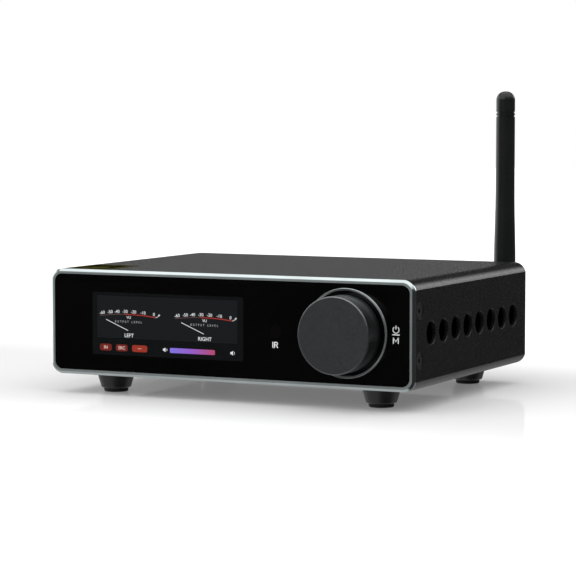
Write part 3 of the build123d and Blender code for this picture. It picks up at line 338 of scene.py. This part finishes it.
class Marks:
    """Flat marks on a plane, gathered into one mesh. Sizes are in millimetres from the plane's origin."""

    def __init__(self, origin, right, up, thick=0.02):
        normal = right.cross(up)
        turn = Matrix((right, up, normal)).transposed().to_4x4()
        self.matrix = Matrix.Translation(origin) @ turn @ Matrix.Scale(MM, 4)
        self.thick = thick
        self.shape = bmesh.new()

    def polygon(self, points):
        """A filled outline, given counter-clockwise."""
        below = [self.shape.verts.new((u, v, 0)) for u, v in points]
        above = [self.shape.verts.new((u, v, self.thick)) for u, v in points]
        self.shape.faces.new(above)
        self.shape.faces.new(below[::-1])
        for number, vertex in enumerate(below):
            after = (number + 1) % len(below)
            self.shape.faces.new((vertex, below[after], above[after], above[number]))

    def bar(self, u, v, width, height, radius=0.0, steps=6):
        """A rectangle with rounded corners, centred on u, v."""
        if radius <= 0:
            half_w, half_h = width / 2, height / 2
            self.polygon([(u - half_w, v - half_h), (u + half_w, v - half_h),
                          (u + half_w, v + half_h), (u - half_w, v + half_h)])
            return
        points = []
        for number, (side, up) in enumerate(((1, -1), (1, 1), (-1, 1), (-1, -1))):
            for step in range(steps + 1):
                angle = pi / 2 * (number - 1 + step / steps)
                points.append((u + side * (width / 2 - radius) + radius * cos(angle),
                               v + up * (height / 2 - radius) + radius * sin(angle)))
        self.polygon(points)

    def stroke(self, points, width):
        """A band of even width along a run of points."""
        left, right = [], []
        for number, (u, v) in enumerate(points):
            before = points[max(number - 1, 0)]
            after = points[min(number + 1, len(points) - 1)]
            du, dv = after[0] - before[0], after[1] - before[1]
            length = sqrt(du * du + dv * dv)
            nu, nv = -dv / length * width / 2, du / length * width / 2
            left.append((u + nu, v + nv))
            right.append((u - nu, v - nv))
        for number in range(len(points) - 1):
            self.polygon([right[number], right[number + 1], left[number + 1], left[number]])

    def arc(self, u, v, radius, first, last, width, steps=24):
        """An arc about u, v between two angles in degrees."""
        points = []
        for step in range(steps + 1):
            angle = radians(first + (last - first) * step / steps)
            points.append((u + radius * cos(angle), v + radius * sin(angle)))
        self.stroke(points, width)

    def words(self, text, height, u, v, width=None, weight=0.0, spacing=1.0, turn=0.0):
        """Text centred on u, v. height is that of a capital letter, and width squeezes it to fit."""
        curve = bpy.data.curves.new("words", "FONT")
        curve.body = text
        curve.size = height / CAPITAL_SHARE
        curve.space_character = spacing
        curve.offset = weight
        curve.extrude = self.thick / 2
        curve.resolution_u = LETTER_STEPS
        holder = bpy.data.objects.new("words", curve)
        bpy.context.scene.collection.objects.link(holder)
        bpy.context.view_layer.update()
        mesh = bpy.data.meshes.new_from_object(holder.evaluated_get(bpy.context.evaluated_depsgraph_get()))
        across = [vertex.co.x for vertex in mesh.vertices]
        upward = [vertex.co.y for vertex in mesh.vertices]
        middle = Vector(((min(across) + max(across)) / 2, (min(upward) + max(upward)) / 2, 0))
        squeeze = width / (max(across) - min(across)) if width else 1.0
        place = (Matrix.Translation((u, v, self.thick / 2)) @ Matrix.Rotation(radians(turn), 4, "Z")
                 @ Matrix.Diagonal((squeeze, 1, 1, 1)) @ Matrix.Translation(-middle))
        mesh.transform(place)
        self.shape.from_mesh(mesh)
        bpy.data.objects.remove(holder)
        bpy.data.meshes.remove(mesh)

    def make(self, name, material, slot, body="chassis"):
        """The finished piece, riding on its body."""
        self.shape.transform(self.matrix)
        bmesh.ops.recalc_face_normals(self.shape, faces=self.shape.faces)
        mesh = bpy.data.meshes.new(name)
        self.shape.to_mesh(mesh)
        self.shape.free()
        mesh.materials.append(material)
        piece = bpy.data.objects.new(name, mesh)
        bpy.context.scene.collection.objects.link(piece)
        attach(piece, body)
        return piece


# ---------------------------------------------------------------- display

# Places are in millimetres, to the right of and above the window's middle. A meter's own places start
# from its offset.
METER_OFFSETS = (-18.5, 17.7)
METER_NAMES = ("LEFT", "RIGHT")
SCALE_RADIUS = 100.0
SCALE_TOP = 4.15
SCALE_LEFT = -13.7
SCALE_RED = -1.5
SCALE_RIGHT = 13.2
SCALE_TAIL = ((0.0, 0.0), (0.9, 0.3), (1.6, 1.0))
SCALE_WIDTH = 0.2
SCALE_RED_WIDTH = 0.3
TICKS = 24
TICKS_PER_LONG = 4
TICK_LONG = 0.8
TICK_SHORT = 0.45
TICK_WIDTH = 0.12
NUMERALS = (("-60", -12.7), ("-50", -8.8), ("-40", -5.4), ("-30", -1.5), ("-20", 2.6), ("-10", 7.2),
            ("0", 12.4))
NUMERAL_HEIGHT = 1.35
NUMERAL_LIFT = 1.25
PLUS_ALONG = 14.9
PLUS_HEIGHT = 1.3
PLUS_LIFT = 1.3
UNIT_PLACE = (0.2, 2.9)
UNIT_HEIGHT = 1.15
CAPTION_RISE = 1.05
CAPTION_HEIGHT = 0.95
CAPTION_WIDTH = 12.9
CAPTION_SPACING = 2.6
TITLE_PLACE = (0.4, -4.7)
TITLE_HEIGHT = 1.55
NEEDLE_TIP = (-10.8, 1.75)
NEEDLE_BASE = (-0.1, -2.65)
NEEDLE_WIDTH = 0.26

# Thicknesses of the display's layers, from the back to the front.
FIELD_THICK = 0.012
TAB_THICK = 0.02
SIGN_THICK = 0.03
WORD_THICK = 0.035


def scale_height(along):
    """The height of a meter's curved scale at a distance along it."""
    return SCALE_TOP - along * along / (2 * SCALE_RADIUS)


def scale_run(first, last, steps=16):
    """Points along a meter's scale."""
    run = []
    for step in range(steps + 1):
        along = first + (last - first) * step / steps
        run.append((along, scale_height(along)))
    return run


def degrees_on_scale(along):
    """The tilt of a numeral that follows the scale."""
    return along / SCALE_RADIUS * 180 / pi


def display_marks(thick):
    """A new set of marks on the display window, measured from its centre."""
    origin = centre("display_window")
    origin.y = low("display_window").y
    return Marks(origin, X, Z, thick)


def draw_scale(offset, grey, red, white):
    """One meter's scale: a grey part, a red part, an upturned end and the ticks."""
    grey.stroke([(offset + u, v) for u, v in scale_run(SCALE_LEFT, SCALE_RED)], SCALE_WIDTH)
    red.stroke([(offset + u, v) for u, v in scale_run(SCALE_RED, SCALE_RIGHT)], SCALE_RED_WIDTH)
    end = scale_height(SCALE_RIGHT)
    white.stroke([(offset + SCALE_RIGHT + u, end + v) for u, v in SCALE_TAIL], SCALE_WIDTH)
    for step in range(TICKS + 1):
        along = SCALE_LEFT + (SCALE_RIGHT - SCALE_LEFT) * step / TICKS
        tick = TICK_SHORT if step % TICKS_PER_LONG else TICK_LONG
        side = grey if along < SCALE_RED else red
        foot = scale_height(along)
        side.stroke([(offset + along, foot), (offset + along, foot + tick)], TICK_WIDTH)


def make_meters():
    """The two level meters: scales, numerals, titles and needles."""
    grey, red, white, faint = (display_marks(SIGN_THICK) for _ in range(4))
    for offset, title in zip(METER_OFFSETS, METER_NAMES):
        draw_scale(offset, grey, red, white)
        for words, along in NUMERALS:
            white.words(words, NUMERAL_HEIGHT, offset + along, scale_height(along) + NUMERAL_LIFT,
                        weight=PLAIN, turn=-degrees_on_scale(along))
        white.words("+", PLUS_HEIGHT, offset + PLUS_ALONG, scale_height(PLUS_ALONG) + PLUS_LIFT, weight=BOLD)
        white.words("VU", UNIT_HEIGHT, offset + UNIT_PLACE[0], UNIT_PLACE[1], weight=PLAIN)
        faint.words("OUTPUT LEVEL", CAPTION_HEIGHT, offset, CAPTION_RISE, width=CAPTION_WIDTH,
                    weight=FINE, spacing=CAPTION_SPACING)
        white.stroke([(offset + u, v) for u, v in (NEEDLE_TIP, NEEDLE_BASE)], NEEDLE_WIDTH)
        white.words(title, TITLE_HEIGHT, offset + TITLE_PLACE[0], TITLE_PLACE[1], weight=FIRM)
    grey.make("meter_scales_low", lit("lit_grey", srgb(112, 84, 82), 0.8), "display")
    red.make("meter_scales_high", lit("lit_red", srgb(186, 60, 50), 0.85), "display")
    white.make("meter_markings", lit("lit_white", srgb(235, 238, 240), 0.9), "display")
    faint.make("meter_titles", lit("lit_faint", srgb(228, 231, 233), 0.9), "display")


# The field's middle, width and height.
FIELD = (-0.2, 2.9, 66.8, 17.9)

# Each tab's place on the status line, its width and its word.
PILLS = ((-29.5, 5.8, "IN"), (-21.75, 5.8, "SRC"), (-13.05, 7.4, "---"))
PILL_HEIGHT = 2.9
PILL_ROUNDING = 1.0
BRIGHT_PILL = 2
PILL_LETTERS = 1.35
STATUS_LINE = -10.1

# The level bar's place on the status line, its width and its height.
VOLUME_BAR = (12.15, 21.3, 2.1)
VOLUME_DROP = 0.05
VOLUME_ROUNDING = 0.5
VOLUME_MIDDLE = 0.45
VOLUME_COLOURS = (srgb(126, 112, 226), srgb(142, 88, 200), srgb(176, 62, 96))
VOLUME_STRENGTH = 0.95

# The speaker signs' places on the status line, and their parts from there: the back's middle, width and
# height, the cone's corners, and the wave's middle and radius.
SPEAKERS = (-1.0, 30.85)
SPEAKER_BACK = (-0.5, 0.1, 0.6, 0.9)
SPEAKER_CONE = ((-0.3, -0.35), (0.4, -0.85), (0.4, 1.05), (-0.3, 0.55))
SPEAKER_WAVE = (0.35, 0.1, 0.75)
SPEAKER_WAVE_SPREAD = 40
SPEAKER_WAVE_WIDTH = 0.2
SPEAKER_WAVE_STEPS = 6


def make_display_field():
    """The slightly lighter field behind the meters."""
    field = display_marks(FIELD_THICK)
    field.bar(*FIELD)
    field.make("meter_field", lit("lit_field", srgb(27, 31, 35), 0.55), "display")


def make_status_row():
    """The row under the meters: three tabs, two speaker signs and a level bar."""
    bright, dim = display_marks(TAB_THICK), display_marks(TAB_THICK)
    words, signs = display_marks(WORD_THICK), display_marks(SIGN_THICK)
    for number, (place, width, text) in enumerate(PILLS):
        tab = bright if number == BRIGHT_PILL else dim
        tab.bar(place, STATUS_LINE, width, PILL_HEIGHT, PILL_ROUNDING)
        words.words(text, PILL_LETTERS, place, STATUS_LINE, weight=FIRM)
    for place in SPEAKERS:
        u, v, width, height = SPEAKER_BACK
        signs.bar(place + u, STATUS_LINE + v, width, height)
        signs.polygon([(place + u, STATUS_LINE + v) for u, v in SPEAKER_CONE])
        u, v, radius = SPEAKER_WAVE
        signs.arc(place + u, STATUS_LINE + v, radius, -SPEAKER_WAVE_SPREAD, SPEAKER_WAVE_SPREAD,
                  SPEAKER_WAVE_WIDTH, steps=SPEAKER_WAVE_STEPS)
    bright.make("status_tab_bright", lit("lit_tab_bright", srgb(158, 52, 38), 0.9), "display")
    dim.make("status_tabs", lit("lit_tab", srgb(116, 38, 30), 0.9), "display")
    words.make("status_words", lit("lit_words", srgb(240, 205, 195), 0.9), "display")
    signs.make("speaker_signs", lit("lit_signs", srgb(238, 240, 242), 0.9), "display")
    make_volume_bar()


def make_volume_bar():
    """The level bar, which runs from violet to red."""
    bar = display_marks(SIGN_THICK)
    u, width, height = VOLUME_BAR
    bar.bar(u, STATUS_LINE - VOLUME_DROP, width, height, VOLUME_ROUNDING)
    material, tree, shader, place = start("lit_bar")
    start_x = centre("display_window").x + (u - width / 2) * MM
    along = put(tree, "ShaderNodeSeparateXYZ", ((0, place),)).outputs[0]
    share = put(tree, "ShaderNodeMapRange", (("Value", along), ("From Min", start_x),
                                             ("From Max", start_x + width * MM))).outputs["Result"]
    ramp = put(tree, "ShaderNodeValToRGB", (("Fac", share),))
    stops = ramp.color_ramp.elements
    middle = stops.new(VOLUME_MIDDLE)
    stops[0].color, middle.color, stops[2].color = VOLUME_COLOURS
    shader.inputs["Base Color"].default_value = (0.01, 0.01, 0.01, 1)
    tree.links.new(ramp.outputs["Color"], shader.inputs["Emission Color"])
    shader.inputs["Emission Strength"].default_value = VOLUME_STRENGTH
    bar.make("volume_bar", material, "display")


# ---------------------------------------------------------------- printed legends

# The letters IR: their place from the panel's middle, each upright's place and width from there, and the
# bowl, arms and leg of the R.
INFRARED_PLACE = (22.8, -5.85)
INFRARED_HEIGHT = 2.4
INFRARED_UPRIGHTS = ((-1.15, 0.4), (-0.35, 0.38))
BOWL_SIDE = 0.45
BOWL_RADIUS = 0.52
BOWL_WIDTH = 0.34
ARM_SIDE = 0.15
ARM_SIZE = (0.62, 0.32)
LEG = ((0.35, 0.05), (1.05, -1.2))
LEG_WIDTH = 0.38

# The power sign, the rule under it and the letter M. The sign's stroke and the rule are a rise from the
# sign's middle, a width and a height. The uprights of the M are a distance from its middle, a width and
# a height.
POWER_PLACE = (76.5, 2.5)
POWER_RADIUS = 1.32
POWER_ARC = (125, 415)
POWER_WIDTH = 0.3
POWER_STROKE = (0.95, 0.32, 1.5)
RULE = (-2.0, 3.3, 0.36)
LETTER_PLACE = (76.45, -1.8)
LETTER_UPRIGHT = (1.08, 0.36, 2.5)
LETTER_SLOPES = ((-1.1, 1.2), (0.0, -0.5), (1.1, 1.2))
LETTER_SLOPE_WIDTH = 0.32


def draw_infrared_letters(marks):
    """The letters by the infra-red window."""
    u, v = INFRARED_PLACE
    for side, width in INFRARED_UPRIGHTS:
        marks.bar(u + side, v, width, INFRARED_HEIGHT)
    marks.arc(u + BOWL_SIDE, v + BOWL_RADIUS, BOWL_RADIUS, -90, 90, BOWL_WIDTH)
    for rise in (2 * BOWL_RADIUS, 0.0):
        marks.bar(u + ARM_SIDE, v + rise, *ARM_SIZE)
    marks.stroke([(u + side, v + rise) for side, rise in LEG], LEG_WIDTH)


def draw_power_marks(marks):
    """The power sign by the knob, with a rule and a letter under it."""
    u, v = POWER_PLACE
    marks.arc(u, v, POWER_RADIUS, *POWER_ARC, POWER_WIDTH)
    for rise, width, height in (POWER_STROKE, RULE):
        marks.bar(u, v + rise, width, height)
    u, v = LETTER_PLACE
    offset, width, height = LETTER_UPRIGHT
    for way in (-1, 1):
        marks.bar(u + way * offset, v, width, height)
    marks.stroke([(u + side, v + rise) for side, rise in LETTER_SLOPES], LETTER_SLOPE_WIDTH)


def make_front_legends():
    """The print on the front panel."""
    origin = centre("front_panel")
    origin.y = low("front_panel").y
    marks = Marks(origin, X, Z)
    draw_infrared_letters(marks)
    draw_power_marks(marks)
    marks.make("front_legends", surface("print_grey", srgb(244, 246, 246), 0.5, mottle=0.03), "label")


LABEL_WIDTH, LABEL_DEPTH = [(high("top_label") - low("top_label"))[axis] / MM for axis in (0, 1)]

# Each border's inset from the label's edge, and its width.
LABEL_BORDERS = ((0.7, 1.0), (2.2, 0.35))
LABEL_BARS = (13.0, 13.0, 8.0)
LABEL_BAR_START = -7.0
LABEL_BAR_PITCH = 3.0
LABEL_BAR_THICK = 1.2
ARCH_MIDDLE = 5.0
ARCH_RADIUS = 3.2
ARCH_WIDTH = 0.8
SILL_MIDDLE = 3.6
SILL_LENGTH = 7.2
LABEL_PRINT_THICK = 0.01


def make_label_print():
    """Plain gold ruling on the label: a double border, a few bars and an arch on a sill."""
    origin = centre("top_label")
    origin.z = high("top_label").z
    marks = Marks(origin, X, Y, thick=LABEL_PRINT_THICK)
    for inset, width in LABEL_BORDERS:
        half_u, half_v = LABEL_WIDTH / 2 - inset, LABEL_DEPTH / 2 - inset
        for side in (-1, 1):
            marks.bar(0, side * half_v, 2 * half_u + width, width)
            marks.bar(side * half_u, 0, width, 2 * half_v - width)
    for number, length in enumerate(LABEL_BARS):
        marks.bar(0, LABEL_BAR_START + LABEL_BAR_PITCH * number, length, LABEL_BAR_THICK)
    marks.arc(0, ARCH_MIDDLE, ARCH_RADIUS, 0, 180, ARCH_WIDTH)
    marks.bar(0, SILL_MIDDLE, SILL_LENGTH, ARCH_WIDTH)
    gold_print = surface("print_gold", srgb(84, 82, 40), 0.5, mottle=0.15, Specular_IOR_Level=0.0)
    marks.make("label_print", gold_print, "gold")


REAR_LETTERS = 1.9

# Each legend's node, its lift above the node's middle and its text.
SOCKET_LEGENDS = (("phono_ring_right", 8.0, "R"), ("phono_ring_left", 8.0, "L"),
                  ("phono_rings_output", 8.0, "OUT"), ("optical_socket", 8.0, "OPT"),
                  ("usb_socket", 8.4, "USB"), ("power_socket", 8.4, "DC"))

# Each sign's node, its shift to the side of the node's middle and its text.
POST_SIGNS = (("post_cap_1", -8.0, "+"), ("post_cap_2", -8.0, "-"), ("post_cap_3", -8.0, "+"),
              ("post_cap_4", -8.2, "-"))


def make_rear_legends():
    """Plain function letters beside the sockets."""
    origin = Vector((0, REAR, CASE_BOTTOM))
    marks = Marks(origin, -X, Z)

    def letter(text, node, shift, lift):
        """Text beside or above a node, moved by shift and lift from the node's middle."""
        place = centre(node)
        marks.words(text, REAR_LETTERS, -place.x / MM + shift, (place.z - CASE_BOTTOM) / MM + lift,
                    weight=HEAVY)

    for node, lift, text in SOCKET_LEGENDS:
        letter(text, node, 0.0, lift)
    for node, shift, text in POST_SIGNS:
        letter(text, node, shift, 0.0)
    marks.make("rear_legends", surface("print_white", srgb(215, 216, 216), 0.5, mottle=0.05), "label")


# ---------------------------------------------------------------- materials of the CAD nodes

MASK_DARK = (0.010, 0.075, 0.035, 1)
MASK_LIGHT = (0.012, 0.095, 0.045, 1)
TRACK = (0.02, 0.16, 0.08, 1)
PAD = (0.75, 0.55, 0.22, 1)
TRACK_SCALE = 260.0
TRACK_WIDTH = 0.04
PAD_SCALE = 330.0
PAD_EDGE = (0.16, 0.2)


def board_material():
    """Green solder mask with faint tracks and gold pads."""
    material, tree, shader, place = start("board")
    tracks = put(tree, "ShaderNodeTexBrick", (("Vector", place), ("Scale", TRACK_SCALE),
                                              ("Color1", MASK_DARK), ("Color2", MASK_LIGHT),
                                              ("Mortar", TRACK), ("Mortar Size", TRACK_WIDTH)))
    pads = put(tree, "ShaderNodeTexVoronoi", (("Vector", place), ("Scale", PAD_SCALE)))
    share = remap(tree, pads.outputs["Distance"], *PAD_EDGE, 1.0, 0.0)
    colour = blend_colours(tree, share, tracks.outputs["Color"], PAD)
    tree.links.new(colour, shader.inputs["Base Color"])
    tree.links.new(share, shader.inputs["Metallic"])
    shader.inputs["Roughness"].default_value = 0.3
    return material


def make_materials():
    """One material for each of the record's slots."""
    return {
        "case_black": surface("case_black", srgb(24, 24, 25), 0.27, grain=0.35 * MM, bump=0.14, mottle=0.05,
                              Specular_IOR_Level=0.35),
        "frame_grey": cut_frame("frame_grey", srgb(188, 197, 197), 0.16, 0.42),
        "panel_black": surface("panel_black", srgb(4, 4, 4), 0.06, mottle=0.2, bump=0.0, spread=0.02,
                               blotch=30 * MM, Specular_IOR_Level=0.25),
        "window": surface("window", srgb(17, 19, 20), 0.06, bump=0.0, mottle=0.04, spread=0.02,
                          Specular_IOR_Level=0.25),
        "display": surface("display", srgb(14, 16, 22), 0.2, bump=0.0),
        "infrared": surface("infrared", srgb(9, 6, 7), 0.12, bump=0.0, Specular_IOR_Level=0.25),
        "knob_black": surface("knob_black", srgb(116, 119, 121), 0.32, metal=1.0, grain=0.2 * MM, bump=0.12,
                              mottle=0.04),
        "ring_silver": turned("ring_silver", srgb(196, 203, 203), 0.34),
        "sheet_steel": surface("sheet_steel", srgb(178, 180, 182), 0.34, metal=1.0, grain=0.2 * MM),
        "screw_black": surface("screw_black", srgb(82, 82, 84), 0.3, metal=0.8, grain=0.1 * MM),
        "screw_steel": surface("screw_steel", srgb(190, 190, 188), 0.3, metal=1.0, grain=0.1 * MM),
        "board_green": board_material(),
        "ribbon": surface("ribbon", srgb(206, 204, 196), 0.4, mottle=0.06),
        "black_plastic": surface("black_plastic", srgb(34, 34, 35), 0.42, grain=0.15 * MM, bump=0.12),
        "white_plastic": surface("white_plastic", srgb(226, 225, 220), 0.4, grain=0.2 * MM, mottle=0.03),
        "red_plastic": surface("red_plastic", srgb(176, 24, 22), 0.3, grain=0.2 * MM, mottle=0.08),
        "foot_black": surface("foot_black", srgb(33, 33, 34), 0.36, grain=0.2 * MM, bump=0.12),
        "rubber": surface("rubber", srgb(24, 24, 24), 0.75, grain=0.2 * MM, bump=0.3),
        "antenna_black": surface("antenna_black", srgb(24, 27, 25), 0.3, grain=0.15 * MM, bump=0.08,
                                 mottle=0.08, Specular_IOR_Level=0.35),
        "gold": surface("gold", srgb(222, 184, 104), 0.24, metal=1.0, grain=0.12 * MM),
        "brass": surface("brass", srgb(206, 170, 98), 0.3, metal=1.0, grain=0.12 * MM),
        "heatsink": surface("heatsink", srgb(44, 44, 45), 0.5, metal=0.5, grain=0.2 * MM),
        "chip": surface("chip", srgb(30, 30, 31), 0.6, grain=0.1 * MM),
        "coil": surface("coil", srgb(70, 70, 72), 0.6, grain=0.25 * MM, bump=0.3),
        "capacitor": surface("capacitor", srgb(28, 28, 52), 0.3, mottle=0.06),
        "label": surface("label", srgb(12, 12, 8), 0.5, bump=0.02, Specular_IOR_Level=0.0),
        "lead": surface("lead", srgb(28, 28, 28), 0.5),
    }


def dress_nodes(materials):
    """Give every CAD node the material of its slot."""
    for part in frame["record"]["subparts"]:
        thing = frame["nodes"][part["node"]]
        thing.data.materials.clear()
        thing.data.materials.append(materials[part["material_slot"]])


bpy.context.scene.view_settings.view_transform = "Standard"
make_camera()
make_world()
make_floor()
dress_nodes(make_materials())
make_display_field()
make_meters()
make_status_row()
make_front_legends()
make_label_print()
make_rear_legends()
